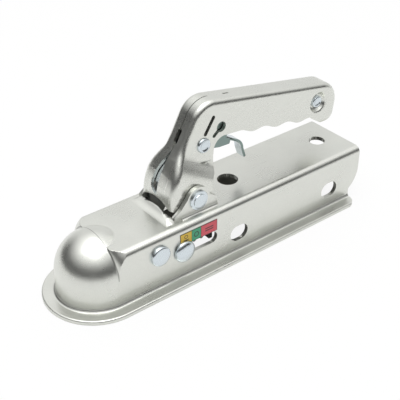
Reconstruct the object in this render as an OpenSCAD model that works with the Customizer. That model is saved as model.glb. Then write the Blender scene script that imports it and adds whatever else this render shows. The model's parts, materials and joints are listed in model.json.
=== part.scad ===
// Pressed steel trailer coupling head with a folded hand lever

/* [Ball and drawbar] */
// Diameter of the towing ball that the socket takes
ball_d = 50; // [45:1:55]
// Height of the ball centre over the underside of the flange
ball_h = 19.5; // [17:0.5:22]
// Thickness of the pressed body sheet
sheet = 3; // [2:0.5:4]
// Height of the flat top over the underside of the flange
body_h = 43.5; // [42:0.5:46]
// Distance from the ball centre to the rear edge
body_len = 224; // [215:1:260]
// Outer radius of the fold between side and top
fold_r = 5; // [4:0.5:7]
// Length of the round shoulder behind the dome
shoulder_len = 10; // [8:0.5:12]
// Width of the flange beside the walls
flange_w = 9.8; // [7:0.2:12]
// Radius of the fillet between flange and wall
flange_fillet = 2.5; // [1:0.5:4]
// Radius on the upper rim of the flange
rim_r = 1.2; // [0.5:0.1:1.5]
// Radius of the rear corners of the flange
flange_corner = 8; // [5:0.5:9]
// How far the flange stops short of the rear edge
flange_setback = 9; // [7:0.5:15]
// Radius of the rear lower edge of the walls
tail_r = 20; // [15:1:22]

/* [Bolt holes] */
// Pitch of the bolt holes in the sides and the top
bolt_pitch = 90; // [70:1:100]
// Place of the rear side hole
side_bolt_x = 192.9; // [180:0.1:200]
// Height of the side holes
side_bolt_z = 17.2; // [15:0.1:22]
// Diameter of the bolt that the side holes take
bolt_d = 12.5; // [10:0.5:14]
// Length of the side holes, end to end
side_slot_len = 16; // [14:0.5:20]
// Place of the rear top hole
top_bolt_x = 204.9; // [195:0.1:210]
// Diameter of the front top hole
top_front_d = 15.4; // [12:0.2:17]

/* [Window and lip] */
// Rear end of the window in the top
window_end = 91; // [91:0.5:96]
// Gap between the lever's foot and the ears
ear_clear = 0.5; // [0.4:0.1:1]
// How far the ears reach in front of the pivot
ear_front = 20.6; // [20:0.1:21]
// Crease where the front lip starts to rise
lip_x = 44; // [43:0.5:46]
// Slope of the lip
lip_slope = 38; // [34:1:42]
// Height of the lip's crown over the top
lip_rise = 5.2; // [4.6:0.1:5.6]
// Height of the lip beside the ears
lip_side = 3.0; // [2.4:0.1:3.4]
// Width of the tongue folded down behind the window
tongue_w = 17; // [14:0.5:20]
// Height of the tongue's free end
tongue_low = 6; // [4:0.5:10]

/* [Front rivet and indicator] */
// Place of the front rivet
rivet_x = 33.3; // [31:0.1:34]
// Depth of the front rivet below the top
rivet_drop = 14.2; // [12.5:0.1:14.5]
// Radius of the front rivet's head
rivet_head_r = 7.5; // [6:0.1:9]
// Radius of the rivet shanks
rivet_r = 4; // [3:0.1:4.5]
// Radius of the bush on the front rivet
bush_r = 6; // [5.5:0.1:6]
// Place of the indicator bolt with no ball in the socket
bolt_x = 53.4; // [53:0.1:54]
// Depth of the indicator bolt below the top
bolt_drop = 19.5; // [19:0.1:20]
// Radius of the indicator bolt's shank
bolt_r = 4.3; // [3.8:0.1:4.5]
// Radius of its head
bolt_head_r = 8.1; // [7:0.1:9]
// Travel of the indicator bolt
bolt_travel = 24.5; // [20:0.5:26]
// Clearance between the shank and the slot
slot_gap = 0.3; // [0.2:0.05:0.6]
// Depth of the label's lower edge below the top
label_drop = 14.6; // [12.5:0.1:14.6]
// Height of the label
label_h = 9.2; // [7:0.1:9.5]
// Front end of the label
label_start = 50.3; // [49:0.1:51]
// Length of the label
label_len = 31.9; // [28:0.1:33]

/* [Lever] */
// Place of the lever's pivot
pivot_x = 72; // [71:0.1:73]
// Height of the lever's pivot over the top
pivot_rise = 10.5; // [10:0.1:11]
// Radius of the pivot rivet's head
pivot_head_r = 7.3; // [6:0.1:9]
// Radius of the ears round the pivot
ear_r = 9.8; // [9:0.1:11]
// Thickness of the lever sheet
lever_sheet = 2.5; // [2:0.1:3]
// Half the width of the grip and the neck
grip_half = 9.5; // [9:0.1:10.5]
// Outer fold radius of the lever sheet
lever_fold = 4; // [3:0.1:4]
// Bend centre behind the pivot
bend_dx = 20.6; // [19:0.1:22]
// Bend centre over the pivot
bend_dz = 46.3; // [44:0.1:49]
// Outer radius of the bend between neck and grip
bend_r = 17; // [14:0.5:19]
// Length of the straight back of the grip
grip_len = 105.4; // [95:0.5:125]
// Radius of the round end of the grip
grip_end_r = 16.8; // [15:0.1:17]
// Downward slope of the grip
grip_slope = 10.65; // [8:0.1:12]
// Lean of the neck from upright
neck_tilt = 28.5; // [27:0.5:30]
// Length of the straight neck
neck_len = 23.8; // [22:0.1:26]
// Height of the grip above its wavy lower edge
grip_depth = 26.6; // [24:0.2:28]
// Pitch of the finger waves
wave_pitch = 22.7; // [18:0.1:26]
// Height of the finger waves
wave_h = 1.2; // [0.5:0.1:2]
// Half the width of the flared foot
foot_half = 17; // [16:0.1:17]
// Radius that the foot and the lip keep apart at
foot_r = 21.2; // [20.5:0.1:21.4]
// Gap between the foot and the lip
foot_gap = 1.0; // [0.6:0.1:1.5]

/* [Trigger] */
// Place of the trigger rivet behind the pivot
trigger_dx = 13; // [12:0.1:13.5]
// Height of the trigger rivet over the pivot
trigger_dz = 32.8; // [32:0.1:34]
// Radius of the trigger rivet's head
trigger_head_r = 5.4; // [4.5:0.1:5.6]
// Radius of the trigger rivet's shank
trigger_pin_r = 2.5; // [2:0.1:3]
// Half the width of the trigger
trigger_half = 6; // [5:0.1:6.2]
// Half the width of its finger tab
tab_half = 4; // [3:0.5:5]
// Thickness of the trigger sheet
trigger_sheet = 2; // [1.5:0.1:2.2]
// Half the width of the leaf opening in front of it
leaf_half = 7; // [6:0.1:8]

/* [Jaw and spring] */
// Half the width of the jaw block
jaw_half = 22; // [18:0.5:23]
// Front face of the jaw block
jaw_front = 8; // [6:0.5:10]
// Rear face of the jaw block
jaw_rear = 36; // [33:0.5:36]
// Underside of the jaw block
jaw_low = 4; // [3:0.5:6]
// Distance that the jaw stands ahead of a seated ball
jaw_reach = 10; // [8:0.5:11]
// Height of the spring's axis
spring_z = 11; // [10.5:0.1:11.2]
// Outer radius of the spring
spring_r = 7; // [6.5:0.1:7]
// Wire radius of the spring
wire_r = 1.25; // [1:0.05:1.3]
// Turns of the spring
spring_turns = 8; // [6:1:9]

/* [Hidden] */
$fn = 96;
eps = 0.01;
run = 0.05;
side_run = 0.3;
big = 400;

socket_r = ball_d / 2;
wall_in = socket_r;
wall_out = wall_in + sheet;
flange_half = wall_out + flange_w;
flange_end = body_len - flange_setback;
ear_gap = foot_half + ear_clear;
pivot_z = body_h + pivot_rise;
rivet_z = body_h - rivet_drop;
bolt_z = body_h - bolt_drop;
label_z = body_h - label_drop;
top_in = body_h - sheet;
ear_out = ear_gap + sheet;
lip_clear_r = foot_r + foot_gap;
slot_half = bolt_r + slot_gap;
bolt_run = wall_out + side_run;
pin_dx = bolt_x - pivot_x;
pin_dz = bolt_z - pivot_z;
pin_reach = norm([pin_dx, pin_dz]);
arm_turn = atan2(pin_dz, pin_dx);
bend_x = pivot_x + bend_dx;
bend_z = pivot_z + bend_dz;
end_x = bend_x + grip_len * cos(grip_slope) + (bend_r - grip_end_r) * sin(grip_slope);
end_z = bend_z - grip_len * sin(grip_slope) + (bend_r - grip_end_r) * cos(grip_slope);
trigger_x = pivot_x + trigger_dx;
trigger_z = pivot_z + trigger_dz;
lever_in = foot_half - lever_sheet;
step_in = 0.05;
arm_end_r = 10;
arm_slot_len = 6.1;
arm_clear = 1.3;
full_s = 27.3;
leaf_s = 27.6;
pull_slot = [4.9, 12.3, 2];
arch_r = 27.3;
arch_drop = 26.3;
plate_in = 9.5;
plate_out = 13.5;
plate_r = 9;
washer_r = 8.5;
washer_t = 1.5;
nut_r = 7.5;
nut_t = 5.5;
bolt_tip = 37.4;
spacer_r = 7;
tab_spring_r = 4.6;
tab_spring_wire = 0.6;
crown_flat = 0.03;
pivot_bush_r = 5.8;
seam_w = 0.6;
dish_dx = 2.7;
dish_dz = 3;
pivot_s = bend_dx * sin(neck_tilt) + bend_dz * cos(neck_tilt) - neck_len;
bush_half = flare_half(pivot_s - pivot_bush_r) - lever_sheet - 0.05;
boss_r = 15.4;
pocket_x = pivot_x + 14.3;
pocket_z = pivot_z + 25.9;
pocket_r = 7.6;
end_lobe_r = 8;
lobe_dx = grip_end_r - end_lobe_r + 0.4;
lobe_dz = 7.3;

zinc = [0.84, 0.84, 0.80];
bright = [0.80, 0.86, 0.90];
steel = [0.55, 0.56, 0.57];

// Points of an arc round c from angle a0 to a1
function arc(c, r, a0, a1, n = 12) =
    [for (i = [0 : n]) c + r * [cos(a0 + (a1 - a0) * i / n), sin(a0 + (a1 - a0) * i / n)]];

// Unit normal on the left of the line from a to b
function left(a, b) = [a[1] - b[1], b[0] - a[0]] / norm(b - a);

// Normal of a path at its point i
function path_normal(p, i) =
    i == 0 ? left(p[0], p[1])
    : i == len(p) - 1 ? left(p[i - 1], p[i])
    : let (m = left(p[i - 1], p[i]) + left(p[i], p[i + 1])) 2 * m / (m * m);

// Frames: heights are measured from the flange, and the model's origin is the ball centre
module from_flange() translate([0, 0, -ball_h]) children();
module along_x(x0, x1) translate([x0, 0, 0]) rotate([90, 0, 90]) linear_extrude(x1 - x0) children();
module along_y(y0, y1) translate([0, y1, 0]) rotate([90, 0, 0]) linear_extrude(y1 - y0) children();
module both_sides() { children(); mirror([0, 1, 0]) children(); }
module cross_pin(x, z, r, y0, y1) translate([x, y1, z]) rotate([90, 0, 0]) cylinder(r = r, h = y1 - y0);
module neck_frame() translate([bend_x, 0, bend_z]) rotate([0, neck_tilt, 0])
    translate([-bend_r, 0, -neck_len]) children();
module grip_frame() translate([end_x, 0, end_z]) rotate([0, grip_slope, 0]) children();

// A strip of even thickness along a path
module strip(p, t)
    polygon(concat([for (i = [0 : len(p) - 1]) p[i] + path_normal(p, i) * t / 2],
        [for (i = [len(p) - 1 : -1 : 0]) p[i] - path_normal(p, i) * t / 2]));

// A slot with round ends; a waist under 1 narrows its straight part a little
module slot2d(a, b, r, waist = 1) {
    turn = atan2(b[1] - a[1], b[0] - a[0]);
    translate(a) circle(r);
    translate(b) circle(r);
    translate(a) rotate(turn) translate([0, -r * waist]) square([norm(b - a), 2 * r * waist]);
}

// Body: section, nose and shoulder
module channel_section(half_w, top, r) {
    translate([-half_w, 0]) square([2 * half_w, top - r]);
    translate([r - half_w, 0]) square([2 * (half_w - r), top]);
    for (s = [-1, 1]) translate([s * (half_w - r), top - r]) circle(r);
}

corner_reach = norm([wall_out - fold_r, body_h - fold_r - ball_h]) + fold_r + 0.15;
shoulder_start = wall_out - 0.3;
shoulder_rho = (pow(shoulder_start, 2) - pow(corner_reach, 2) + pow(shoulder_len, 2))
    / (2 * (shoulder_start - corner_reach));
shoulder_r = corner_reach - shoulder_rho;

module shoulder(r)
    translate([0, 0, ball_h]) rotate([0, 90, 0]) rotate_extrude() intersection() {
        union() {
            translate([shoulder_rho, shoulder_len]) circle(r);
            translate([0, max(0, shoulder_len - r)]) square([shoulder_rho, min(r, shoulder_len)]);
        }
        square([big, shoulder_len]);
    }

module tail_side()
    difference() {
        union() {
            translate([0, ball_h / 3]) square([body_len - tail_r, body_h]);
            square([flange_end, body_h]);
            translate([body_len - tail_r - eps, side_bolt_z + 9]) square([tail_r + eps, body_h]);
            translate([body_len - tail_r, side_bolt_z + 9]) circle(tail_r);
        }
        translate([flange_end, -big]) square([big, big + ball_h / 3]);
    }

module pressing(half_w, top, r, dome_r, shoulder_arc, floor_z = 0) {
    rotate_extrude() {
        translate([0, ball_h]) intersection() {
            circle(dome_r);
            square([dome_r + 1, dome_r - crown_flat]);
        }
        translate([0, floor_z]) square([dome_r, ball_h - floor_z]);
    }
    translate([0, -half_w, floor_z]) cube([shoulder_len, 2 * half_w, ball_h - floor_z]);
    intersection() {
        along_x(0, shoulder_len + eps) channel_section(half_w, top, r);
        shoulder(shoulder_arc);
    }
    along_x(shoulder_len, body_len + 1) {
        channel_section(half_w, top, r);
        translate([-half_w, floor_z]) square([2 * half_w, ball_h]);
    }
}

module flange_section() {
    translate([wall_in + sheet / 2, 0]) square([flange_half - rim_r - wall_in - sheet / 2, sheet]);
    translate([wall_in + sheet / 2, 0]) square([flange_half - wall_in - sheet / 2, sheet - rim_r]);
    translate([flange_half - rim_r, sheet - rim_r]) circle(rim_r);
    difference() {
        translate([wall_in + sheet / 2, sheet / 2]) square([sheet / 2 + flange_fillet, sheet / 2 + flange_fillet]);
        translate([wall_out + flange_fillet, sheet + flange_fillet]) circle(flange_fillet);
    }
}

module flange_plan() {
    circle(flange_half + 1);
    translate([0, -flange_half - 1]) square([flange_end - flange_corner, 2 * flange_half + 2]);
    translate([0, flange_corner - flange_half]) square([flange_end, 2 * (flange_half - flange_corner)]);
    for (s = [-1, 1]) translate([flange_end - flange_corner, s * (flange_half - flange_corner)])
        circle(flange_corner);
}

module flange() intersection() {
    union() {
        rotate([0, 0, 90]) rotate_extrude(angle = 180) flange_section();
        both_sides() along_x(0, flange_end) flange_section();
    }
    linear_extrude(body_h) flange_plan();
}

// Lip in front of the window: a ramp of one sheet thickness with a waved rim that runs into the ears
lip_len = 12;
function lip_wave(y) = abs(y) < ear_gap
    ? lip_side + (lip_rise - lip_side) * (1 + cos(180 * y / ear_gap)) / 2
    : lip_side * (ear_out - abs(y)) / sheet;

module lip_block(drop) intersection() {
    along_y(-ear_out, ear_out) polygon([[lip_x, top_in - 4], [lip_x, body_h - drop],
        [lip_x + lip_len, body_h + lip_len * tan(lip_slope) - drop], [lip_x + lip_len, top_in - 4]]);
    along_x(lip_x - 1, lip_x + lip_len) polygon(concat(
        [for (i = [-14 : 14]) let (y = ear_out * i / 14) [y, body_h + lip_wave(y) - drop]],
        [[ear_out, top_in - 5], [-ear_out, top_in - 5]]));
}

module lip() difference() {
    lip_block(0);
    translate([eps, 0, 0]) lip_block(sheet);
    translate([lip_x - 1, -big / 2, top_in - 6]) cube([lip_len + 2, big, 6.5]);
    cross_pin(pivot_x, pivot_z, lip_clear_r, -big / 2, big / 2);
}

module ear_side() {
    root = [pivot_x - ear_front, body_h + lip_side + 0.4];
    translate([pivot_x, pivot_z]) {
        circle(ear_r);
        polygon([[-ear_front, top_in - pivot_z], root - [pivot_x, pivot_z], [-1.49 * ear_r, -0.28 * ear_r],
            [-0.84 * ear_r, 0.46 * ear_r], [0, 0], [0.97 * ear_r, 1], [1.6 * ear_r, -0.3 * ear_r],
            [1.73 * ear_r, body_h - pivot_z], [1.73 * ear_r, top_in - pivot_z]]);
    }
}

module ear() {
    along_y(ear_gap, ear_out) ear_side();
    along_x(pivot_x - 1.48 * ear_r, pivot_x + 1.61 * ear_r) difference() {
        translate([ear_out - 1, body_h - 1]) square([3, 3]);
        translate([ear_out + 2, body_h + 2]) circle(2);
    }
}

module coupling_body() color(zinc) from_flange() difference() {
    union() {
        difference() {
            union() {
                intersection() {
                    pressing(wall_out, body_h, fold_r, socket_r + sheet, shoulder_r);
                    along_y(-wall_out - 1, wall_out + 1) union() {
                        translate([-big, -1]) square([big, body_h + 20]);
                        tail_side();
                        square([body_len - 2 * tail_r, body_h + 20]);
                    }
                }
                flange();
            }
            pressing(wall_in, top_in, fold_r - sheet, socket_r, shoulder_r - sheet, -1);
            along_x(lip_x, window_end) translate([-ear_gap, top_in - 1]) square([2 * ear_gap, sheet + 2]);
        }
        lip();
        both_sides() ear();
        translate([window_end, -tongue_w / 2, tongue_low])
            cube([sheet, tongue_w, body_h - sheet / 2 - tongue_low]);
    }
    along_y(-wall_out - 1, wall_out + 1) {
        for (i = [0, 1]) slot2d([side_bolt_x - i * bolt_pitch - (side_slot_len - bolt_d) / 2, side_bolt_z],
            [side_bolt_x - i * bolt_pitch + (side_slot_len - bolt_d) / 2, side_bolt_z], bolt_d / 2);
        slot2d([bolt_x, bolt_z], [bolt_x + bolt_travel, bolt_z], slot_half);
        translate([rivet_x, rivet_z]) circle(rivet_r + run);
        translate([pivot_x, pivot_z]) circle(rivet_r + run);
    }
    translate([top_bolt_x, 0, top_in - 1]) cylinder(d = bolt_d, h = sheet + 2);
    translate([top_bolt_x - bolt_pitch, 0, top_in - 1]) cylinder(d = top_front_d, h = sheet + 2);
}

// A rivet or bolt head with a low crown
module round_head(r, h) {
    cylinder(r = r, h = h * 0.45);
    translate([0, 0, h * 0.45]) rotate_extrude() intersection() {
        square([r, h * 0.55 - crown_flat]);
        translate([0, h * 0.55 - crown(r, h)]) circle(crown(r, h));
    }
}
function crown(r, h) = (r * r + pow(h * 0.55, 2)) / (2 * h * 0.55);

module cross_rivet(x, z, r, head_r, seat, head_h) translate([x, 0, z]) {
    rotate([90, 0, 0]) translate([0, 0, -seat]) cylinder(r = r, h = 2 * seat);
    both_sides() translate([0, seat, 0]) rotate([-90, 0, 0]) round_head(head_r, head_h);
}

module tube(x, z, r_in, r_out, half) translate([x, 0, z]) rotate([90, 0, 0]) difference() {
    translate([0, 0, -half]) cylinder(r = r_out, h = 2 * half);
    translate([0, 0, -half - 1]) cylinder(r = r_in, h = 2 * half + 2);
}

module front_rivet() color(bright) from_flange()
    cross_rivet(rivet_x, rivet_z, rivet_r, rivet_head_r, wall_out, 3);
module guide_bush() color(steel) from_flange()
    tube(rivet_x, rivet_z, rivet_r + run, bush_r, wall_in - side_run);
module pivot_rivet() color(bright) from_flange()
    cross_rivet(pivot_x, pivot_z, rivet_r, pivot_head_r, ear_out, 2.5);
module wear_label() color("gold") from_flange()
    translate([label_start, -wall_out - 0.3, label_z]) cube([label_len, 0.3, label_h]);

// Lever: grip and neck as the hull of two rims and the end of the neck
module rim(r, half_w, fold) rotate([90, 0, 0]) rotate_extrude($fn = 72) {
    translate([0, -half_w]) square([r - fold, 2 * half_w]);
    translate([0, fold - half_w]) square([r, 2 * (half_w - fold)]);
    for (k = [-1, 1]) translate([r - fold, k * (half_w - fold)]) circle(fold, $fn = 32);
}

module folded_slice(x0, half_w, fold, depth) linear_extrude(eps) {
    translate([x0 + fold, -half_w]) square([depth - fold, 2 * half_w]);
    for (k = [-1, 1]) translate([x0 + fold, k * (half_w - fold)]) circle(fold, $fn = 32);
}

module grip_form(thick) hull() {
    translate([end_x, 0, end_z]) rim(grip_end_r - thick, grip_half - thick, lever_fold - thick);
    grip_frame() translate([lobe_dx, 0, -lobe_dz]) rim(end_lobe_r - thick, grip_half - thick, lever_fold - thick);
    translate([bend_x, 0, bend_z]) rim(bend_r - thick, grip_half - thick, lever_fold - thick);
    neck_frame() translate([0, 0, -1]) folded_slice(thick, grip_half - thick, lever_fold - thick, 36);
}

// Half width and front line of the flared foot at a distance down from the neck
function flare_half(s) = s < 11 ? grip_half + 3.4 * sin(90 * s / 11)
    : min(foot_half, grip_half + 3.4 + (foot_half - grip_half - 3.4) * (s - 11) / 16);
function flare_front(s) = s < 11 ? -1.7 * s / 11 : -1.7 + 5.5 * pow(max(0, s - 17) / 22.6, 2);

module flare_slice(s, thick) translate([0, 0, -s])
    folded_slice(flare_front(s) + thick, flare_half(s) - thick, lever_fold - min(thick, lever_sheet), 46);

// The flare in two hulls, each started a touch inside the form above it
module flare(thick, last) {
    hull() {
        flare_slice(0, thick + step_in);
        for (s = [2, 4, 6.5, 9, 11]) flare_slice(s, thick);
    }
    hull() {
        flare_slice(10.5, thick + step_in);
        for (s = [12, 19, 27, 31, 35, last]) flare_slice(s, thick);
    }
}

// Outline of the arms that carry the foot through the window to the indicator bolt
module arm_side() {
    translate([pivot_x, pivot_z]) rotate(arm_turn) {
        translate([pin_reach, 0]) circle(arm_end_r);
        polygon([[0, -13], [pin_reach, 0.8 - arm_end_r], [pin_reach, arm_end_r - 0.8], [0, 11]]);
    }
    intersection() {
        translate([pivot_x, pivot_z]) circle(boss_r - 0.4);
        to_neck2d() translate([-big / 2, -full_s - big]) square(big);
    }
}

// What is left of the flare beside and below the pivot
module foot_side() {
    translate([30, pivot_z]) square([70, 60]);
    translate([pivot_x, pivot_z]) circle(boss_r);
    intersection() {
        translate([pivot_x, pivot_z]) circle(foot_r);
        polygon([[pivot_x, pivot_z], [20, pivot_z + 1], [20, 0], [58, 20]]);
    }
}

module arm_slot() translate([pivot_x, pivot_z]) rotate(arm_turn)
    slot2d([pin_reach - arm_slot_len, 0], [pin_reach + 0.8, 0], bolt_r + arm_clear, 0.99);

// Everything below the grip and behind the foot
grip_low = grip_end_r - grip_depth;
module under_grip()
    translate([end_x, end_z]) rotate(-grip_slope) polygon(concat(
        [[30, -70], [8.4, -16], [1, -13.4], [-5, -10.9]],
        [for (i = [0 : 36]) let (x = -7.7 - i * 2) [x, grip_low + wave_h * cos(360 * (x + 9.5) / wave_pitch)]],
        arc([-91.2, grip_low - 9.2], 9.2, 88, 188),
        [[-99.3, -35.3], [-101.8, -40], [-101.8, -48], [-99, -70]]));

// Leaf opening in the far half of the neck's front, whose straight side is the seam
module leaf2d() intersection() {
    union() {
        circle(leaf_half);
        polygon([[-seam_w / 2, 25.5], [0.8, 24.4], [0.38 * leaf_half, 17], [0.7 * leaf_half, 9.5],
            [0.955 * leaf_half, 2.1], [-seam_w / 2, -2]]);
    }
    translate([-seam_w / 2, -leaf_half]) square([leaf_half * 2, leaf_half + 30]);
}

module foot_cuts() {
    neck_frame() {
        along_x(-6, 9) translate([0, -leaf_s]) leaf2d();
        along_x(-6, 4) slot2d([0, pull_slot[0]], [0, pull_slot[1]], pull_slot[2]);
        translate([-6, -seam_w / 2, -8]) cube([10, seam_w, 14]);
    }
    translate([bend_x - 30, -seam_w / 2, bend_z - 20]) cube([33, seam_w, 40]);
    // Arched lower edge
    translate([30, 0, pivot_z - arch_drop]) rotate([0, 90, 0]) cylinder(r = arch_r, h = 26);
}

module side_cuts() translate([bend_x, bend_z]) {
    slot2d([0.8, 4.9], [-5.9, -5.5], 1.5, 0.97);
    slot2d([7.8, -4.4], [1.7, -9.3], 1.5, 0.97);
    translate([7.8, -4.4]) circle(3.9);
}

module grip_dish(r_in, r_out, y0, y1) translate([end_x - dish_dx, y1, end_z + dish_dz]) rotate([90, 0, 0])
    cylinder(r1 = r_out, r2 = r_in, h = y1 - y0);

module handle_lever() color(zinc) from_flange() difference() {
    union() {
        difference() {
            intersection() {
                union() {
                    grip_form(0);
                    neck_frame() flare(0, 39.6);
                }
                along_y(-foot_half - 1, foot_half + 1) {
                    foot_side();
                    translate([pivot_x, pivot_z + 8]) square([big, big]);
                }
            }
            grip_form(lever_sheet);
            neck_frame() flare(lever_sheet, 42);
        }
        both_sides() along_y(lever_in + step_in, foot_half - step_in) arm_side();
        both_sides() cross_pin(pocket_x, pocket_z, pocket_r + 1.2,
            grip_half - lever_sheet + step_in, grip_half - step_in);
        both_sides() grip_dish(7.5, 10.2, grip_half - 6, grip_half - lever_sheet + 0.5);
    }
    both_sides() cross_pin(pocket_x, pocket_z, pocket_r, grip_half + step_in, foot_half);
    along_y(-foot_half - 1, foot_half + 1) {
        under_grip();
        arm_slot();
        side_cuts();
    }
    foot_cuts();
    both_sides() grip_dish(5.5, 8.5, grip_half - 4, grip_half + eps);
    cross_pin(end_x - dish_dx, end_z + dish_dz, 2.5 + run, -20, 20);
    cross_pin(trigger_x, trigger_z, trigger_pin_r + run, -20, 20);
    cross_pin(pivot_x, pivot_z, rivet_r + run, -20, 20);
    grip_frame() translate([-92, -0.6, 10]) cube([5, 1.2, 10]);
}

module pivot_bush() color(steel) from_flange()
    tube(pivot_x, pivot_z, rivet_r + run, pivot_bush_r, bush_half);
module trigger_rivet() color(bright) from_flange()
    cross_rivet(trigger_x, trigger_z, trigger_pin_r, trigger_head_r, grip_half, 1.8);
module trigger_bush() color(steel) from_flange()
    tube(trigger_x, trigger_z, trigger_pin_r + run, 3.8, trigger_half - trigger_sheet - 0.05);
module end_rivet() color(bright) from_flange()
    cross_rivet(end_x - dish_dx, end_z + dish_dz, 2.5, 4.5, grip_half - 4, 2);
module end_spacer() color(steel) from_flange()
    tube(end_x - dish_dx, end_z + dish_dz, 2.5 + run, 5, grip_half - 6.02);

// Trigger: a folded strip with two side flanges and a curled finger tab
tab_root = [[15, -2.2], [25, -5.6]];
tab_curl = arc([30, -19.8], 10, 64, 2, 8);
tab_end = [42.5, -27];
module trigger_arm_path(r) {
    points = [for (s = [4, 8, 12, 16, 20, 24, 28, 32, 35]) [flare_front(s) + lever_sheet + 1.4 + r, -s]];
    strip(points, trigger_sheet);
}
module to_neck2d() translate([bend_x, bend_z]) rotate(-neck_tilt) translate([-bend_r, -neck_len]) children();

module trigger_flange_side() {
    translate([trigger_x, trigger_z]) circle(5.6);
    to_neck2d() polygon(concat(
        [for (s = [4, 12, 20, 28, 35]) [flare_front(s) + lever_sheet + 1.4, -s]],
        [[8.0, -34], [7.2, -20], [8.5, -8], [14, -2.5], [20.5, 5], [12, 12], [6, 3]]));
    translate([trigger_x, trigger_z]) polygon([[0, 5.6], [2, -6], [17, -9.2], [26, -9.6], [27.2, -6.2],
        [23.5, -4], [23.5, 11.5], [12, 13], [5, 5]]);
}

module safety_trigger() color(bright) from_flange() difference() {
    union() {
        both_sides() along_y(trigger_half - trigger_sheet, trigger_half) trigger_flange_side();
        along_y(-trigger_half, trigger_half) {
            to_neck2d() trigger_arm_path(1);
            translate([trigger_x, trigger_z]) strip(tab_root, trigger_sheet);
        }
        along_y(-tab_half, tab_half) translate([trigger_x, trigger_z])
            strip(concat(tab_root, tab_curl, [tab_end]), trigger_sheet);
    }
    cross_pin(trigger_x, trigger_z, trigger_pin_r + run, -20, 20);
}

// A wire coil along +X
module coil(r, wire, turns, length, per_turn = 20) {
    steps = turns * per_turn;
    rings = [for (i = [0 : steps]) [for (k = [0 : 7])
        let (a = 360 * i / per_turn, b = 45 * k, q = r + wire * cos(b))
        [wire + (length - 2 * wire) * i / steps + wire * sin(b), q * cos(a), q * sin(a)]]];
    faces = concat([[for (k = [7 : -1 : 0]) k]],
        [for (i = [0 : steps - 1], k = [0 : 7])
            [i * 8 + k, i * 8 + (k + 1) % 8, (i + 1) * 8 + (k + 1) % 8, (i + 1) * 8 + k]],
        [[for (k = [0 : 7]) steps * 8 + k]]);
    polyhedron([for (ring = rings) each ring], faces);
}

module trigger_spring() color(steel) from_flange() translate([trigger_x, -3.2, trigger_z])
    rotate([0, 0, 90]) coil(tab_spring_r, tab_spring_wire, 4, 6.4);

// Jaw behind the ball, which slides back when the lever opens
module ball_jaw() color(steel) from_flange() {
    jaw_top = rivet_z - bush_r - 0.5;
    difference() {
        along_x(jaw_front, jaw_rear) translate([-jaw_half, jaw_low]) square([2 * jaw_half, jaw_top - jaw_low]);
        translate([-jaw_reach, 0, ball_h]) sphere(socket_r + 0.3);
    }
    difference() {
        both_sides() along_y(plate_in, plate_out) {
            translate([bolt_x, bolt_z]) circle(plate_r);
            translate([jaw_rear - 6, bolt_z - plate_r])
                square([bolt_x - jaw_rear + 6, jaw_top - bolt_z + plate_r]);
        }
        cross_pin(bolt_x, bolt_z, bolt_r + run, -20, 20);
    }
}

module indicator_bolt() color(bright) from_flange() translate([bolt_x, 0, bolt_z]) {
    rotate([90, 0, 0]) translate([0, 0, -bolt_tip]) cylinder(r = bolt_r, h = bolt_tip + bolt_run);
    translate([0, -bolt_run, 0]) rotate([90, 0, 0]) round_head(bolt_head_r, 4);
}
module indicator_washer() color(bright) from_flange() difference() {
    cross_pin(bolt_x, bolt_z, washer_r, bolt_run, bolt_run + washer_t);
    cross_pin(bolt_x, bolt_z, bolt_r + run, bolt_run - 1, bolt_run + 3);
}
module indicator_nut() color(bright) from_flange() difference() {
    translate([bolt_x, bolt_run + washer_t + nut_t, bolt_z]) rotate([90, 0, 0])
        cylinder(r = nut_r, h = nut_t, $fn = 6);
    cross_pin(bolt_x, bolt_z, bolt_r + run, bolt_run, bolt_run + 9);
}
module bolt_sleeve() color(steel) from_flange() 
    tube(bolt_x, bolt_z, bolt_r + run, 5.5, plate_in - 0.2);
module side_spacers() color(steel) from_flange() both_sides() difference() {
    cross_pin(bolt_x, bolt_z, spacer_r, foot_half + side_run, wall_in - side_run);
    cross_pin(bolt_x, bolt_z, bolt_r + run, foot_half - 1, wall_in);
}
module spring_guide_pin() color(steel) from_flange() translate([jaw_rear, 0, spring_z]) rotate([0, 90, 0])
    cylinder(r = spring_r - 2 * wire_r - 0.5, h = 20);
module main_spring() color(steel) from_flange() translate([jaw_rear + 0.05, 0, spring_z])
    coil(spring_r - wire_r, wire_r, spring_turns, window_end - jaw_rear - 0.1);

coupling_body();
front_rivet();
guide_bush();
pivot_rivet();
wear_label();
handle_lever();
pivot_bush();
trigger_rivet();
trigger_bush();
end_rivet();
end_spacer();
safety_trigger();
trigger_spring();
ball_jaw();
indicator_bolt();
indicator_washer();
indicator_nut();
bolt_sleeve();
side_spacers();
spring_guide_pin();
main_spring();
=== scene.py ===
# Trailer coupling head: finishes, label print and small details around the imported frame
import json
import math

import bpy
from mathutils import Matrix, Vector
from mathutils.bvhtree import BVHTree
from mathutils.interpolate import poly_3d_calc


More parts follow.
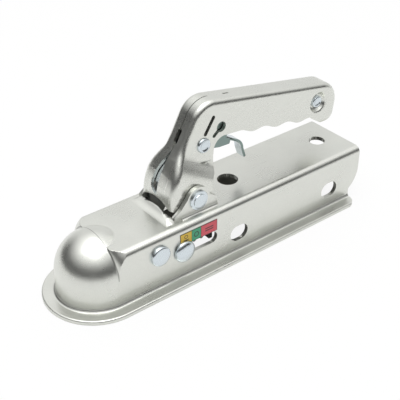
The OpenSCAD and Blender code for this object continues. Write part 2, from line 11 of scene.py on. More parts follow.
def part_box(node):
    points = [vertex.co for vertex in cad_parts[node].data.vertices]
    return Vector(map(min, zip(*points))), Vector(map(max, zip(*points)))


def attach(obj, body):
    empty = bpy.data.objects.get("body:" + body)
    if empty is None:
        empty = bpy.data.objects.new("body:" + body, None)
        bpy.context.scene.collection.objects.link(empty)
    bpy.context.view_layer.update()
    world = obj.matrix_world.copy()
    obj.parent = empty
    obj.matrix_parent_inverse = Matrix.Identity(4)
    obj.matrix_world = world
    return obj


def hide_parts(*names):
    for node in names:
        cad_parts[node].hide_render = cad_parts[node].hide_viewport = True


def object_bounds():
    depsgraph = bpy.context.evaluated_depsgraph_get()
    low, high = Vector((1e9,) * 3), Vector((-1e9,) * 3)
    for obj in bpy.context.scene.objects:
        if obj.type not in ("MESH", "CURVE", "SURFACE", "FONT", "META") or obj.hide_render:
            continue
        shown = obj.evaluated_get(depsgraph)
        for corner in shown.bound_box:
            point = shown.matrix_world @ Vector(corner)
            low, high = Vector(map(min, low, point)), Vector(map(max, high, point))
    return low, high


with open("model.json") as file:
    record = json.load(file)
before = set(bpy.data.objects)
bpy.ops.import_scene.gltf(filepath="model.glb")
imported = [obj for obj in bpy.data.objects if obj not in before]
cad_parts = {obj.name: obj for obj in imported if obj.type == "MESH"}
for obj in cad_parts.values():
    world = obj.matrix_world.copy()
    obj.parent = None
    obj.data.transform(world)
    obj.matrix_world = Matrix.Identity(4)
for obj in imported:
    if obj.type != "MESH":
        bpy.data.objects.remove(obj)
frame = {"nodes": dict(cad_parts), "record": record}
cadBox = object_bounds()
mm = 0.001
print("frame loaded:", len(frame["nodes"]), "nodes")


# Camera, floor and lamps

camera = {
    "place": (-0.2435, -0.4196, 0.3740),
    "target": (0.0895, 0.0, 0.0164),
    "lens": 81.2,
    "sensor": 36.0,
}

studio = {
    "floorSize": 6.0,
    "floorGap": 0.00005,
    "floorColour": (0.86, 0.86, 0.85, 1),
    "floorShown": 0.9,
    "floorMirrored": 0.97,
    "underMiddle": 0.09,  # the floor under the channel looks dark in reflections
    "underHalf": (0.125, 0.036),
    "underFade": 0.02,
    "mirrorFade": (1.0, 0.5),
    "skyLow": 0.03,
    "skySide": 0.8,
    "skyRise": ((0.36, 0.40), (0.30, 0.24)),
    "skySideWay": (0.8, 0.6),
    "sideFrom": 0.25,
    "sideOver": 0.45,
    "skyHigh": ((0.0, 0.39), (0.5, 0.39), (0.85, 0.575), (1.0, 0.7)),  # half strengths by height
    "lampPlace": (-0.02, -0.04, 1.5),
    "lampSize": 1.3,
    "lampPower": 10.0,
}


def deselectAll():
    bpy.ops.object.select_all(action="DESELECT")


def addCamera():
    bpy.ops.object.camera_add(location=camera["place"])
    viewer = bpy.context.object
    viewer.name = "photoCamera"
    aim = Vector(camera["target"]) - Vector(camera["place"])
    viewer.rotation_euler = aim.to_track_quat("-Z", "Y").to_euler()
    viewer.data.sensor_width = camera["sensor"]
    viewer.data.lens = camera["lens"]
    viewer.data.clip_start = 0.01
    viewer.data.clip_end = 50
    bpy.context.scene.camera = viewer


class Sock:
    # A socket or a number that takes part in shader maths
    def __init__(self, tree, link):
        self.tree = tree
        self.link = link

    def math(self, operation, *others, clamp=False):
        return self.tree.node("ShaderNodeMath", {"operation": operation, "use_clamp": clamp},
                              [self, *others])

    def __add__(self, other):
        return self.math("ADD", other)

    def __radd__(self, other):
        return self.math("ADD", other)

    def __sub__(self, other):
        return self.math("SUBTRACT", other)

    def __rsub__(self, other):
        return self.tree.node("ShaderNodeMath", {"operation": "SUBTRACT"}, [other, self])

    def __mul__(self, other):
        return self.math("MULTIPLY", other)

    def __rmul__(self, other):
        return self.math("MULTIPLY", other)

    def __truediv__(self, other):
        return self.math("DIVIDE", other)

    def __gt__(self, other):
        return self.math("GREATER_THAN", other)

    def __lt__(self, other):
        return self.math("LESS_THAN", other)

    def clamp(self):
        return self.math("ADD", 0.0, clamp=True)


class Tree:
    # The nodes of one material or world
    def __init__(self, owner):
        owner.use_nodes = True
        self.nodes = owner.node_tree.nodes
        self.links = owner.node_tree.links
        self.nodes.clear()

    def node(self, kind, settings=None, inputs=None, output=0):
        made = self.nodes.new(kind)
        for key, value in (settings or {}).items():
            if key == "stops":
                self.setStops(made.color_ramp, value)
            else:
                setattr(made, key, value)
        pairs = inputs.items() if isinstance(inputs, dict) else enumerate(inputs or [])
        for key, value in pairs:
            if isinstance(value, Sock):
                self.links.new(value.link, made.inputs[key])
            else:
                made.inputs[key].default_value = value
        return Sock(self, made.outputs[output])

    def setStops(self, ramp, stops):
        while len(ramp.elements) < len(stops):
            ramp.elements.new(0.5)
        for element, (place, colour) in zip(ramp.elements, stops):
            element.position = place
            element.color = colour if isinstance(colour, tuple) else (colour, colour, colour, 1)

    def finish(self, shader, kind="ShaderNodeOutputMaterial"):
        out = self.nodes.new(kind)
        self.links.new(shader.link, out.inputs[0])

    def place(self):
        return self.node("ShaderNodeTexCoord", output="Object")

    def axes(self, place):
        split = self.node("ShaderNodeSeparateXYZ", inputs=[place])
        return [Sock(self, split.link.node.outputs[k]) for k in range(3)]

    def mixColour(self, mask, first, second):
        return self.node("ShaderNodeMix", {"data_type": "RGBA"}, {0: mask, 6: first, 7: second},
                         output=2)

    def noise(self, place, scale, detail=2.0, rough=0.5):
        return self.node("ShaderNodeTexNoise", {}, {"Vector": place, "Scale": scale, "Detail": detail,
                                                    "Roughness": rough})

    def stretched(self, place, scale):
        return self.node("ShaderNodeMapping", {}, {"Vector": place, "Scale": scale})


def shownWhite(tree):
    # White to the camera and through clear things
    path = tree.node("ShaderNodeLightPath", output="Is Camera Ray")
    seen = Sock(tree, path.link.node.outputs["Is Transmission Ray"])
    return path.math("MAXIMUM", seen)


def addFloor():
    low = cadBox[0][2]
    bpy.ops.mesh.primitive_plane_add(size=studio["floorSize"], location=(0, 0, low - studio["floorGap"]))
    floor = bpy.context.object
    floor.name = "studioFloor"
    mat = bpy.data.materials.new("floorWhite")
    tree = Tree(mat)
    x, y, _ = tree.axes(tree.place())
    pathX = (x - studio["underMiddle"]).math("ABSOLUTE") - studio["underHalf"][0]
    pathY = y.math("ABSOLUTE") - studio["underHalf"][1]
    bright = (pathX.math("MAXIMUM", pathY) / studio["underFade"]).clamp()
    far, fade = studio["mirrorFade"]
    reach = (x * x + y * y).math("SQRT")
    bright = bright * ((far - reach) / fade).clamp()
    path = tree.node("ShaderNodeLightPath", output="Is Camera Ray")
    glossy = Sock(tree, path.link.node.outputs["Is Glossy Ray"])
    clear = Sock(tree, path.link.node.outputs["Is Transmission Ray"])
    seen = path.math("MAXIMUM", clear) * studio["floorShown"]
    seen = seen.math("MAXIMUM", glossy * bright * studio["floorMirrored"])
    paper = tree.node("ShaderNodeBsdfDiffuse", {}, [studio["floorColour"]])
    glow = tree.node("ShaderNodeEmission", {}, [(1, 1, 1, 1), 1.0])
    tree.finish(tree.node("ShaderNodeMixShader", {}, [seen, paper, glow]))
    floor.data.materials.append(mat)


def addSky():
    world = bpy.data.worlds.new("studioSky")
    bpy.context.scene.world = world
    tree = Tree(world)
    x, y, height = tree.axes(tree.node("ShaderNodeTexCoord", output="Generated"))
    sideX, sideY = studio["skySideWay"]
    side = ((x * sideX + y * sideY - studio["sideFrom"]) / studio["sideOver"]).clamp()
    low = side * (studio["skySide"] - studio["skyLow"]) + studio["skyLow"]
    high = tree.node("ShaderNodeValToRGB", {"stops": studio["skyHigh"]}, [height])
    (darkFrom, darkOver), (lightFrom, lightOver) = studio["skyRise"]
    start = side * (lightFrom - darkFrom) + darkFrom
    over = side * (lightOver - darkOver) + darkOver
    rise = ((height - start) / over).clamp()
    light = low * (1 - rise) + high * rise * 2
    sky = tree.node("ShaderNodeBackground", {}, [(1, 1, 1, 1), light])
    white = tree.node("ShaderNodeBackground", {}, [(1, 1, 1, 1), 1.0])
    tree.finish(tree.node("ShaderNodeMixShader", {}, [shownWhite(tree), sky, white]),
                "ShaderNodeOutputWorld")


def addLamp():
    bpy.ops.object.light_add(type="AREA", location=studio["lampPlace"])
    lamp = bpy.context.object
    lamp.name = "softbox"
    aim = Vector(camera["target"]) - Vector(studio["lampPlace"])
    lamp.rotation_euler = aim.to_track_quat("-Z", "Y").to_euler()
    lamp.data.size = studio["lampSize"]
    lamp.data.energy = studio["lampPower"]


deselectAll()
addCamera()
addFloor()
addSky()
addLamp()
bpy.context.scene.view_settings.view_transform = "Standard"
print("camera and studio ready")


# Finishes

finishes = {
    "bodyZinc": {"colour": (0.72, 0.73, 0.685), "metal": 0.92, "rough": 0.30, "grain": 0.09, "bump": 0.05,
                 "wearSheenAt": (0.0262, 0.0012), "wearSheenFrom": (0.012, 0.015),
                 "creaseAt": 0.0004, "creaseAbove": 0.004, "cornerAt": -0.0160},
    "leverZinc": {"colour": (0.72, 0.73, 0.685), "metal": 0.92, "rough": 0.28, "grain": 0.08, "bump": 0.045,
                  "wearSheenAt": (0.0086, 0.0008)},
    # Painted shade: a dim copy of the zinc for the shaded inside of the channels
    "insideShadeZinc": {"colour": (0.34, 0.34, 0.31), "metal": 0.7, "rough": 0.6, "grain": 0.14, "bump": 0.2},
    # Painted shade: a dark copy of the bright zinc for the trigger's side flanges, and a near-black one for
    # their part behind the keyhole
    "triggerFlangeShade": {"colour": (0.24, 0.31, 0.29), "metal": 0.85, "rough": 0.35, "grain": 0.08,
                      "bump": 0.03},
    "triggerFlangeBlackShade": {"colour": (0.03, 0.032, 0.03), "metal": 0.3, "rough": 0.7, "grain": 0.1, "bump": 0.03},
    "brightZinc": {"colour": (0.66, 0.72, 0.755), "metal": 0.95, "rough": 0.22, "grain": 0.05,
                   "bump": 0.03},
    "plainSteel": {"colour": (0.36, 0.36, 0.36), "metal": 0.9, "rough": 0.42, "grain": 0.08, "bump": 0.12},
    "springSteel": {"colour": (0.72, 0.73, 0.72), "metal": 0.7, "rough": 0.5, "grain": 0.05, "bump": 0.03},
}


texture = {
    "cloudScale": 38.0,
    "fineScale": 1300.0,
    "brushWay": (90, 1400, 1400),
    "cloudShade": 1.6,
    "fineShade": 1.4,
    "cloudRough": 0.16,
    "brushRough": 0.08,
    "wearSheenLift": 0.1,
    "wornRough": 0.07,
    "lineHalf": 0.0004,
    "bumpDepth": 0.0004,
}


def metal(name, look):
    mat = bpy.data.materials.new(name)
    tree = Tree(mat)
    place = tree.place()
    cloud = tree.noise(place, texture["cloudScale"], 4.0, 0.55)
    fine = tree.noise(place, texture["fineScale"], 2.0, 0.6)
    brushed = tree.noise(tree.stretched(place, texture["brushWay"]), 1.0, 2.0, 0.6)
    grain = look["grain"]
    shade = (cloud - 0.5) * grain * texture["cloudShade"]
    shade = shade + (fine - 0.5) * grain * texture["fineShade"] + 1.0
    rough = look["rough"] + (cloud - 0.5) * texture["cloudRough"] + (brushed - 0.5) * texture["brushRough"]
    if "wearSheenAt" in look:
        middle, half = look["wearSheenAt"]
        along, across, up = tree.axes(place)
        across = across.math("ABSOLUTE")
        # Folds are rubbed a little brighter and smoother as wear, and the brighter band is also a painted
        # highlight along the fold
        worn = (1 - (across - middle).math("ABSOLUTE") / half).clamp() * (cloud * 3 - 1).clamp()
        if "wearSheenFrom" in look:
            worn = worn * (along > look["wearSheenFrom"][0]) * (up > look["wearSheenFrom"][1])
        shade = shade + worn * texture["wearSheenLift"]
        rough = rough - worn * texture["wornRough"]
    if "creaseAt" in look:
        # Painted shade: a dark line where the dome meets the shoulder, and in the corner on the flange
        x, _, z = tree.axes(place)
        half = texture["lineHalf"]
        crease = (1 - (x - look["creaseAt"]).math("ABSOLUTE") / half).clamp() * (z > look["creaseAbove"])
        corner = (1 - (z - look["cornerAt"]).math("ABSOLUTE") / half).clamp()
        shade = shade * (1 - crease * 0.6 - corner * (cloud * 0.5 + 0.3))
    colour = tree.node("ShaderNodeVectorMath", {"operation": "SCALE"},
                       {0: look["colour"], "Scale": shade})
    height = fine * 0.6 + brushed * 0.4
    bump = tree.node("ShaderNodeBump", {}, {"Strength": look["bump"], "Distance": texture["bumpDepth"],
                                            "Height": height})
    shader = tree.node("ShaderNodeBsdfPrincipled", {}, {
        "Base Color": colour, "Metallic": look["metal"], "Roughness": rough, "Normal": bump})
    tree.finish(shader)
    return mat


materials = {name: metal(name, look) for name, look in finishes.items()}
materialOf = {"zinc_sheet": "bodyZinc", "bright_zinc": "brightZinc", "plain_steel": "plainSteel"}


meshing = {
    "weld": 0.000002,
    "flatFrom": 0.99995,
    "tidyAngle": 0.4,
    "insideLift": 0.0003,
    "insideReach": 0.06,
    "insideLeast": 0.009,
}


def dress(piece, mat):
    if not piece.data.materials:
        piece.data.materials.append(mat)
    for slot in piece.material_slots:
        slot.material = mat


def work(piece):
    deselectAll()
    piece.select_set(True)
    bpy.context.view_layer.objects.active = piece


def applied(piece, kind, **settings):
    # Adds a modifier, sets it and applies it
    work(piece)
    made = piece.modifiers.new(kind.lower(), kind)
    for key, value in settings.items():
        setattr(made, key, value)
    bpy.ops.object.modifier_apply(modifier=made.name)


def mergedCopy(node):
    # The CAD mesh is loose triangles, so a merged copy is made to work on
    source = frame["nodes"][node]
    piece = source.copy()
    piece.data = source.data.copy()
    piece.name = node + "_finished"
    for key in list(piece.keys()):
        del piece[key]
    bpy.context.scene.collection.objects.link(piece)
    piece.parent = None
    work(piece)
    bpy.ops.object.mode_set(mode="EDIT")
    bpy.ops.mesh.select_all(action="SELECT")
    bpy.ops.mesh.remove_doubles(threshold=meshing["weld"])
    bpy.ops.object.mode_set(mode="OBJECT")
    return piece


def smooth(piece, angle=30.0):
    work(piece)
    bpy.ops.object.shade_smooth_by_angle(angle=math.radians(angle))
    applied(piece, "WEIGHTED_NORMAL", mode="FACE_AREA", weight=100, keep_sharp=True)


def flattenWalls(piece, wanted=None):
    # Every corner of a flat wall shades flat, so that the rim of a slot can't bend its shading
    mesh = piece.data
    normals = [corner.vector.copy() for corner in mesh.corner_normals]
    for face in mesh.polygons:
        flat = max(abs(part) for part in face.normal) > meshing["flatFrom"]
        if flat and (not wanted or wanted(face.center)):
            for k in face.loop_indices:
                normals[k] = face.normal.copy()
    mesh.normals_split_custom_set(normals)


def roundRims(piece, width, angle=50.0):
    work(piece)
    bpy.ops.object.mode_set(mode="EDIT")
    bpy.ops.mesh.select_all(action="SELECT")
    bpy.ops.mesh.dissolve_limited(angle_limit=math.radians(meshing["tidyAngle"]))
    bpy.ops.object.mode_set(mode="OBJECT")
    applied(piece, "BEVEL", width=width, segments=2, limit_method="ANGLE",
            angle_limit=math.radians(angle), use_clamp_overlap=False)


def paintInsideShade(piece, mat, wanted):
    # Faces that stand between two walls of their own piece are the inside of a channel, and get a darker
    # finish as painted shade
    mesh = piece.data
    mesh.materials.append(mat)
    shape = BVHTree.FromPolygons([v.co for v in mesh.vertices], [f.vertices for f in mesh.polygons])
    for face in mesh.polygons:
        spot = face.center + face.normal * meshing["insideLift"]
        walls = [shape.ray_cast(spot, Vector((0, way, 0)), meshing["insideReach"])[3] for way in (1, -1)]
        if None not in walls and sum(walls) > meshing["insideLeast"] and wanted(face.center):
            face.material_index = 1


def finished(piece, node, body):
    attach(piece, body)
    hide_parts(node)


bodyOf = {node: body for body, nodes in frame["record"]["behaviour"]["bodies"].items() for node in nodes}
slotOf = {row["node"]: row["material_slot"] for row in frame["record"]["subparts"]}


# Lever, whose folds run softly from the neck into the flared foot

lever = {
    "neckTop": (0.0926, 0.0, 0.0808),
    "neckTilt": 28.5,
    "bendR": 0.017,
    "neckLen": 0.0238,
    "shapeZone": (-0.012, 0.020),
    "shadeZone": (-0.012, 0.038),
    "zoneFade": 0.004,
    "cutStep": 0.0015,
    "hairline": 0.00013,
    "reach": 0.010,
    "probes": 7,
    "neckHalf": 0.0095,
    "footHalf": 0.017,
    "flareFrom": -0.003,
    "flareTo": 0.020,
    "flareEnd": 0.0272,
    "kneeAt": 0.011,  # where the solid's flare turns steeper
    "kneeRise": 0.0034,
    "kneeOver": 0.016,
    "findWithin": 0.003,
    "darkAbove": 0.002,
}


def neckAxis():
    turn = math.radians(lever["neckTilt"])
    across = Vector((math.cos(turn), 0, -math.sin(turn)))
    down = Vector((-math.sin(turn), 0, -math.cos(turn)))
    end = Vector(lever["neckTop"]) - across * lever["bendR"] + down * lever["neckLen"]
    return end, down


neckEnd, neckDown = neckAxis()


def zoneWeight(spot, zone):
    along = (spot - neckEnd).dot(neckDown)
    rise = (along - zone[0]) / lever["zoneFade"]
    fall = (zone[1] - along) / lever["zoneFade"]
    return max(0.0, min(1.0, rise, fall))


class Surface:
    # A smooth shaded mesh as it was, to be asked for its nearest point and normal
    def __init__(self, piece):
        mesh = piece.data
        self.spots = [v.co.copy() for v in mesh.vertices]
        self.faces = [list(f.vertices) for f in mesh.polygons]
        self.starts = [f.loop_start for f in mesh.polygons]
        self.normals = [corner.vector.copy() for corner in mesh.corner_normals]
        self.shape = BVHTree.FromPolygons(self.spots, self.faces)

    def near(self, probe):
        spot, _, index, _ = self.shape.find_nearest(probe, lever["findWithin"])
        if spot is None:
            return None, None
        face = self.faces[index]
        parts = poly_3d_calc([self.spots[k] for k in face], spot)
        normal = Vector((0, 0, 0))
        for k, part in enumerate(parts):
            normal += self.normals[self.starts[index] + k] * part
        return spot, normal.normalized()

    def average(self, spot, normal):
        # Mean normal and mean rise of the surface along the neck, from pairs on both sides of the spot
        bent, rise, total = normal.copy(), 0.0, 1.0
        for k in range(1, lever["probes"] + 1):
            step = lever["reach"] * k / lever["probes"]
            found = []
            for way in (-1, 1):
                probe = spot + neckDown * step * way
                there, slope = self.near(probe)
                if there is not None and slope.dot(normal) > 0.6:
                    found.append(((there - probe).dot(normal), slope))
            if len(found) < 2:
                break
            share = math.exp(-(1.6 * k / lever["probes"]) ** 2)
            for up, slope in found:
                bent += slope * share
                rise += up * share
                total += share
        return bent.normalized(), rise / total


def cutAcross(piece):
    # Closes the solid's hairline steps, then cuts the sheet into short bands along the neck
    low, high = lever["shadeZone"]
    work(piece)
    bpy.ops.object.mode_set(mode="EDIT")
    bpy.ops.mesh.select_all(action="DESELECT")
    bpy.ops.object.mode_set(mode="OBJECT")
    for vertex in piece.data.vertices:
        vertex.select = low < (vertex.co - neckEnd).dot(neckDown) < high
    bpy.ops.object.mode_set(mode="EDIT")
    bpy.ops.mesh.remove_doubles(threshold=lever["hairline"])
    for k in range(int((high - low) / lever["cutStep"]) + 1):
        spot = neckEnd + neckDown * (low + k * lever["cutStep"])
        bpy.ops.mesh.select_all(action="SELECT")
        bpy.ops.mesh.bisect(plane_co=spot, plane_no=neckDown)
    bpy.ops.object.mode_set(mode="OBJECT")


def widestNormals(mesh):
    # For each point, the normal of the widest face that meets there
    widest = {}
    for face in mesh.polygons:
        for k in face.vertices:
            if face.area >= widest.get(k, (0.0, None))[0]:
                widest[k] = (face.area, face.normal.copy())
    return {k: normal for k, (_, normal) in widest.items()}


def relaxShape(piece, surface):
    mesh = piece.data
    moves = {}
    for k, normal in widestNormals(mesh).items():
        spot = mesh.vertices[k].co
        weight = zoneWeight(spot, lever["shapeZone"])
        if weight > 0:
            moves[k] = normal * surface.average(spot, normal)[1] * weight
    for k, move in moves.items():
        mesh.vertices[k].co += move
    print("neck relaxed by up to", round(max(m.length for m in moves.values()) * 1000, 2), "mm")


def relaxShade(piece, surface):
    mesh = piece.data
    widest = widestNormals(mesh)
    normals = [corner.vector.copy() for corner in mesh.corner_normals]
    for face in mesh.polygons:
        for k in face.loop_indices:
            spot = mesh.vertices[mesh.loops[k].vertex_index].co
            weight = zoneWeight(spot, lever["shadeZone"])
            if weight > 0:
                own = widest[mesh.loops[k].vertex_index]
                own = own if own.dot(face.normal) > 0.8 else normals[k]
                bent = surface.average(spot, own)[0]
                normals[k] = normals[k].lerp(bent, weight).normalized()
    mesh.normals_split_custom_set(normals)


def cadHalf(along):
    # Half width of the solid's flare, by the distance down from the neck
    knee = lever["kneeAt"]
    first = lever["neckHalf"] + lever["kneeRise"] * math.sin(math.pi / 2 * max(0.0, min(1.0, along / knee)))
    if along < knee:
        return first
    return min(lever["footHalf"], first + (lever["footHalf"] - first) * (along - knee) / lever["kneeOver"])


def softHalf(along):
    part = (along - lever["flareFrom"]) / (lever["flareTo"] - lever["flareFrom"])
    part = max(0.0, min(1.0, part))
    return lever["neckHalf"] + (lever["footHalf"] - lever["neckHalf"]) * part * part * (3 - 2 * part)


def widenFlare(piece):
    # The sheet swells from neck to foot in one soft S, a little earlier than the solid does
    for vertex in piece.data.vertices:
        along = (vertex.co - neckEnd).dot(neckDown)
        if lever["flareFrom"] < along < lever["flareEnd"]:
            vertex.co.y *= softHalf(along) / cadHalf(along)


def aboveFlare(spot):
    return (spot - neckEnd).dot(neckDown) < lever["darkAbove"]


def aboveNeck(spot):
    return (spot - neckEnd).dot(neckDown) < lever["shadeZone"][0]


leverPiece = mergedCopy("handle_lever")
cutAcross(leverPiece)
widenFlare(leverPiece)
smooth(leverPiece)
before = Surface(leverPiece)
relaxShape(leverPiece, before)
relaxShade(leverPiece, before)
flattenWalls(leverPiece, aboveNeck)
dress(leverPiece, materials["leverZinc"])
# The inside of the grip and neck gets painted shade
paintInsideShade(leverPiece, materials["insideShadeZinc"], aboveFlare)
finished(leverPiece, "handle_lever", "lever")
print("lever finished,", len(leverPiece.data.polygons), "faces")


# Body sheet

body = {
    "darkBelow": 0.0225,
}


def underTop(spot):
    return spot.z < body["darkBelow"]


bodyPiece = mergedCopy("coupling_body")
smooth(bodyPiece)
flattenWalls(bodyPiece)
dress(bodyPiece, materials["bodyZinc"])
# The inside of the channel under the top gets painted shade
paintInsideShade(bodyPiece, materials["insideShadeZinc"], underTop)
finished(bodyPiece, "coupling_body", "root")
print("body finished,", len(bodyPiece.data.polygons), "faces")


# Turned rivets and the indicator bolt: each list gives radius and place along the pin, in millimetres

turned = {
    "sides": 56,
    "pivotHead": [(7.3, 0.0), (7.3, 1.0), (6.9, 1.4), (5.6, 1.5), (5.3, 1.65),
                  (5.1, 2.3), (4.6, 2.5), (2.0, 2.6)],
    "frontHead": [(7.5, 0.0), (7.5, 1.6), (7.1, 2.3), (6.5, 2.65), (5.0, 2.9), (2.4, 3.05)],
    "triggerHead": [(5.4, 0.0), (5.4, 0.8), (5.0, 1.4), (4.4, 1.7), (3.9, 1.7),
                    (3.4, 1.3), (2.6, 1.0), (1.2, 0.95)],
    "endHead": [(4.6, 0.0), (4.6, 2.0), (4.3, 2.7), (3.7, 3.1), (3.2, 3.1),
                (2.8, 2.7), (2.4, 2.4), (1.2, 2.35)],
    "boltHead": [(8.1, 0.0), (8.1, 1.2), (7.7, 2.0), (6.6, 2.8), (5.2, 3.35), (3.6, 3.75), (1.8, 3.95)],
}


def pinProfile(head, shankR, seat):
    near = [(r, -seat - up) for r, up in reversed(head)]
    far = [(r, seat + up) for r, up in head]
    return near + [(shankR, -seat), (shankR, seat)] + far


def turnedPiece(name, middle, profile):
    # A disc drawn out ring by ring along Y
    deselectAll()
    firstR, firstY = profile[0]
    spot = Vector(middle) + Vector((0, firstY * mm, 0))
    bpy.ops.mesh.primitive_circle_add(vertices=turned["sides"], radius=firstR * mm, fill_type="NGON",
                                      location=spot, rotation=(math.radians(90), 0, 0))
    piece = bpy.context.object
    piece.name = name
    bpy.ops.object.transform_apply(location=True, rotation=True, scale=True)
    bpy.ops.object.mode_set(mode="EDIT")
    bpy.ops.mesh.select_all(action="SELECT")
    lastR, lastY = firstR, firstY
    for ringR, ringY in profile[1:]:
        bpy.ops.mesh.extrude_region_move(TRANSFORM_OT_translate={"value": (0, (ringY - lastY) * mm, 0)})
        size = ringR / lastR
        centre = Vector(middle) + Vector((0, ringY * mm, 0))
        bpy.ops.transform.resize(value=(size, 1, size), center_override=centre)
        lastR, lastY = ringR, ringY
    bpy.ops.mesh.select_all(action="SELECT")
    bpy.ops.mesh.normals_make_consistent(inside=False)
    bpy.ops.object.mode_set(mode="OBJECT")
    work(piece)
    bpy.ops.object.shade_smooth_by_angle(angle=math.radians(40))
    dress(piece, materials["brightZinc"])
    return piece


def middleOf(node):
    low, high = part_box(node)
    return ((low[0] + high[0]) / 2, 0, (low[2] + high[2]) / 2)


pins = {
    "front_rivet": ("frontHead", 4.0, 28.0),
    "pivot_rivet": ("pivotHead", 4.0, 20.5),
    "trigger_rivet": ("triggerHead", 2.5, 9.5),
    "end_rivet": ("endHead", 2.5, 5.5),
}

boltEnd = [(4.3, 35.3), (3.9, 35.55), (3.9, 35.65), (4.3, 36.0), (4.3, 36.1), (3.9, 36.45), (3.9, 36.55),
           (4.25, 36.9), (3.7, 37.4)]
boltSeat = 28.3

for node, (head, shankR, seat) in pins.items():
    piece = turnedPiece(node + "_turned", middleOf(node), pinProfile(turned[head], shankR, seat))
    finished(piece, node, bodyOf[node])

boltProfile = [(r, -boltSeat - up) for r, up in reversed(turned["boltHead"])] + [(4.3, -boltSeat)] + boltEnd
bolt = turnedPiece("indicator_bolt_turned", middleOf("indicator_bolt"), boltProfile)
finished(bolt, "indicator_bolt", "jaw")
print("rivets and bolt turned")


# Safety trigger: its side flanges get painted shade, darker than the finger tab, and a painted black shadow
# where they sit inside the lever behind the keyhole

trigger = {
    "rim": 0.00035,
    "pivot": (0.085, 0.0673),
    "hiddenFrom": -0.004,
    "hiddenTo": 0.006,
    "plateFrom": 0.006,
    "plateLong": 0.021,
    "plateInset": 0.0045,
    "plateFarSide": -0.003,
    "plateBehind": 0.0033,
    "plateDip": (0.0017, 0.011),
    "plateRise": (0.0055, 0.017, 0.0226),
    "plateThick": 0.0007,
}


def dressTrigger():
    piece = mergedCopy("safety_trigger")
    roundRims(piece, trigger["rim"])
    smooth(piece)
    dress(piece, materials["brightZinc"])
    piece.data.materials.append(materials["triggerFlangeShade"])
    piece.data.materials.append(materials["triggerFlangeBlackShade"])
    pivotX, pivotZ = trigger["pivot"]
    low, rear = pivotZ + trigger["hiddenFrom"], pivotX + trigger["hiddenTo"]
    # Side faces get painted shade; those inside the lever behind the keyhole get a painted black shadow
    for face in piece.data.polygons:
        if abs(face.normal.y) > 0.7:
            hidden = face.center.z > low and face.center.x < rear
            face.material_index = 2 if hidden else 1
    finished(piece, "safety_trigger", "trigger")


def addTriggerPlate():
    # Plate of the trigger that shows through the leaf opening in the lever's front
    deselectAll()
    bpy.ops.mesh.primitive_grid_add(x_subdivisions=6, y_subdivisions=14, size=1)
    piece = bpy.context.object
    piece.name = "trigger_front_plate"
    across = Vector((-neckDown.z, 0, neckDown.x))
    dip, dipOver = trigger["plateDip"]
    rise, riseFrom, riseOver = trigger["plateRise"]
    edge = trigger["plateFarSide"]
    for vertex in piece.data.vertices:
        u, v = vertex.co.x + 0.5, vertex.co.y + 0.5
        along = trigger["plateFrom"] + trigger["plateLong"] * v
        half = softHalf(along) - trigger["plateInset"]
        behind = -dip * min(1.0, along / dipOver) + rise * (max(0.0, along - riseFrom) / riseOver) ** 2
        vertex.co = neckEnd + neckDown * along + across * (behind + trigger["plateBehind"])
        vertex.co.y = edge + (half - edge) * u
    applied(piece, "SOLIDIFY", thickness=trigger["plateThick"], offset=-1)
    work(piece)
    bpy.ops.object.mode_set(mode="EDIT")
    bpy.ops.mesh.select_all(action="SELECT")
    bpy.ops.mesh.normals_make_consistent(inside=False)
    bpy.ops.object.mode_set(mode="OBJECT")
    bpy.ops.object.shade_smooth_by_angle(angle=math.radians(30))
    dress(piece, materials["brightZinc"])
    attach(piece, "trigger")


dressTrigger()
addTriggerPlate()
print("trigger finished")


# The other metal pieces keep their CAD shape, with smooth shading; the indicator nut and washer also get
# rounded rims

done = {"handle_lever", "coupling_body", "safety_trigger", "indicator_bolt", *pins}
rimOf = {"indicator_nut": 0.0004, "indicator_washer": 0.0003}
finishOf = {"main_spring": "springSteel"}

for node in frame["nodes"]:
    if node in done or slotOf[node] not in materialOf:
        continue
    piece = mergedCopy(node)
    if node in rimOf:
        roundRims(piece, rimOf[node])
    smooth(piece)
    dress(piece, materials[finishOf.get(node, materialOf[slotOf[node]])])
    finished(piece, node, bodyOf[node])
print("metal pieces dressed")


# Printed label

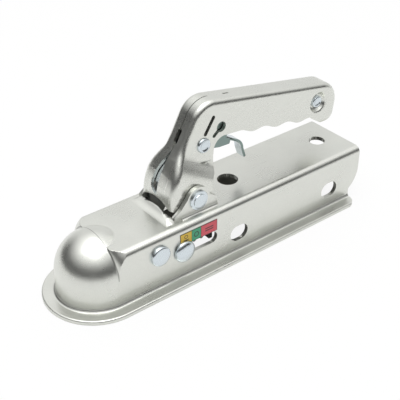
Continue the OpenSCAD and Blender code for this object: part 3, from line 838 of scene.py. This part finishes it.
label = {
    "x": (0.0503, 0.060, 0.068, 0.0822),
    "z": (0.0094, 0.0186),
    "line": 0.00035,
    "bars": ((0.0552, 0.0128, 0.0021), (0.0752, 0.0148, 0.0035), (0.0752, 0.0130, 0.0035)),
    "barHalf": 0.0005,
    "rings": ((0.0552, 0.0155, 0.0013, 0.0003), (0.0640, 0.0140, 0.0018, 0.0004)),
    "yellow": (0.74, 0.50, 0.05, 1),
    "green": (0.045, 0.37, 0.19, 1),
    "red": (0.70, 0.09, 0.12, 1),
    "ink": (0.02, 0.02, 0.02, 1),
}


def labelPrint():
    # Three fields of colour with a thin outline, and bars and rings as marks
    mat = bpy.data.materials.new("labelPrint")
    tree = Tree(mat)
    place = tree.place()
    x, _, z = tree.axes(place)
    left, yellowEnd, greenEnd, right = label["x"]
    low, high = label["z"]

    def near(value, middle, half):
        return (value - middle).math("ABSOLUTE") < half

    def bar(middleX, middleZ, halfX):
        return near(x, middleX, halfX) * near(z, middleZ, label["barHalf"])

    def ring(middleX, middleZ, radius, half):
        reach = ((x - middleX) * (x - middleX) + (z - middleZ) * (z - middleZ)).math("SQRT")
        return near(reach, radius, half)

    colour = tree.mixColour(x > yellowEnd, label["yellow"], label["green"])
    colour = tree.mixColour(x > greenEnd, colour, label["red"])
    ink = (x < left + label["line"]) + (x > right - label["line"])
    ink = ink + (z < low + label["line"]) + (z > high - label["line"])
    ink = ink + near(x, yellowEnd, label["line"] / 2) + near(x, greenEnd, label["line"] / 2)
    for middleX, middleZ, halfX in label["bars"]:
        ink = ink + bar(middleX, middleZ, halfX)
    for middleX, middleZ, radius, half in label["rings"]:
        ink = ink + ring(middleX, middleZ, radius, half)
    worn = tree.noise(place, 500.0, 3.0, 0.6)
    colour = tree.mixColour(ink.clamp() * 0.85, colour, label["ink"])
    rough = worn * 0.2 + 0.25
    shader = tree.node("ShaderNodeBsdfPrincipled", {}, {"Base Color": colour, "Roughness": rough})
    tree.finish(shader)
    return mat


dress(frame["nodes"]["wear_label"], labelPrint())
print("label printed")
